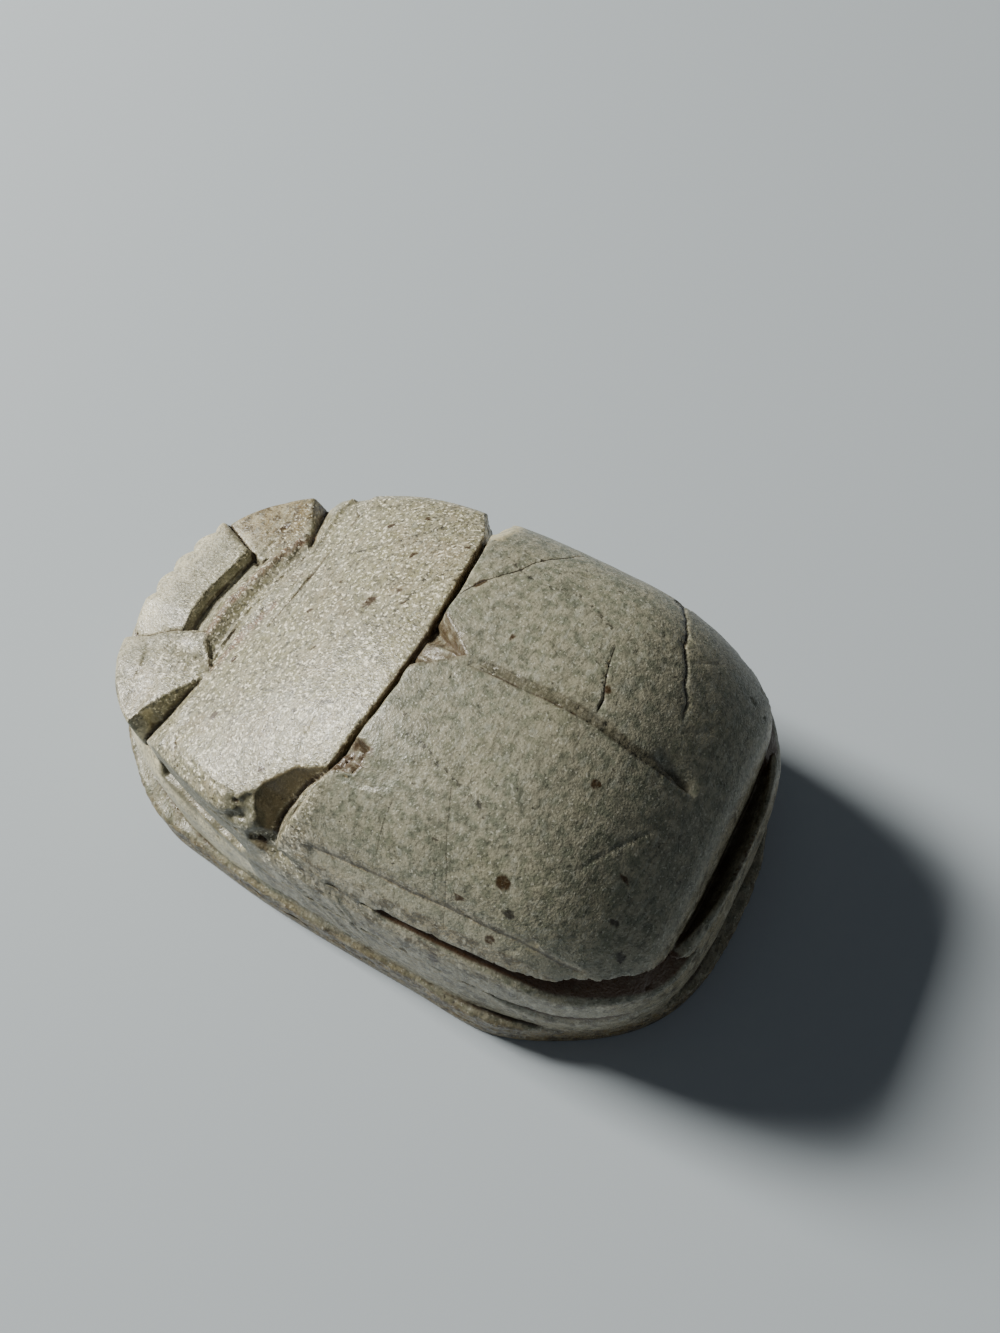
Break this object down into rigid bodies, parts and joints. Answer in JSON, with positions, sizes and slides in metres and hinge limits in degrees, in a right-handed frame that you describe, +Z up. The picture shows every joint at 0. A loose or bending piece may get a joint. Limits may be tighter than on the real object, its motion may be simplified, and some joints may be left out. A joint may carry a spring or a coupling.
{
  "type": "scarab amulet",
  "caption": "Carved stone scarab beetle amulet with a flat underside, deep grooves between its head, pronotum and wing cases, side legs and a lengthwise stringing bore.",
  "frame": {"origin": "centre of the footprint on the flat underside", "axes": "+X along the body towards the tail, the head at -X; +Y across, the beetle's right-hand side; +Z up, out of the back"},
  "size_m": [0.02, 0.0124, 0.0089],
  "materials": {
    "steatite": "pale grey to buff steatite, filed and rubbed smooth, softly glinting on the back, earth-stained in the grooves"
  },
  "bodies": {
    "root": {"scarab": "steatite"}
  },
  "joints": []
}
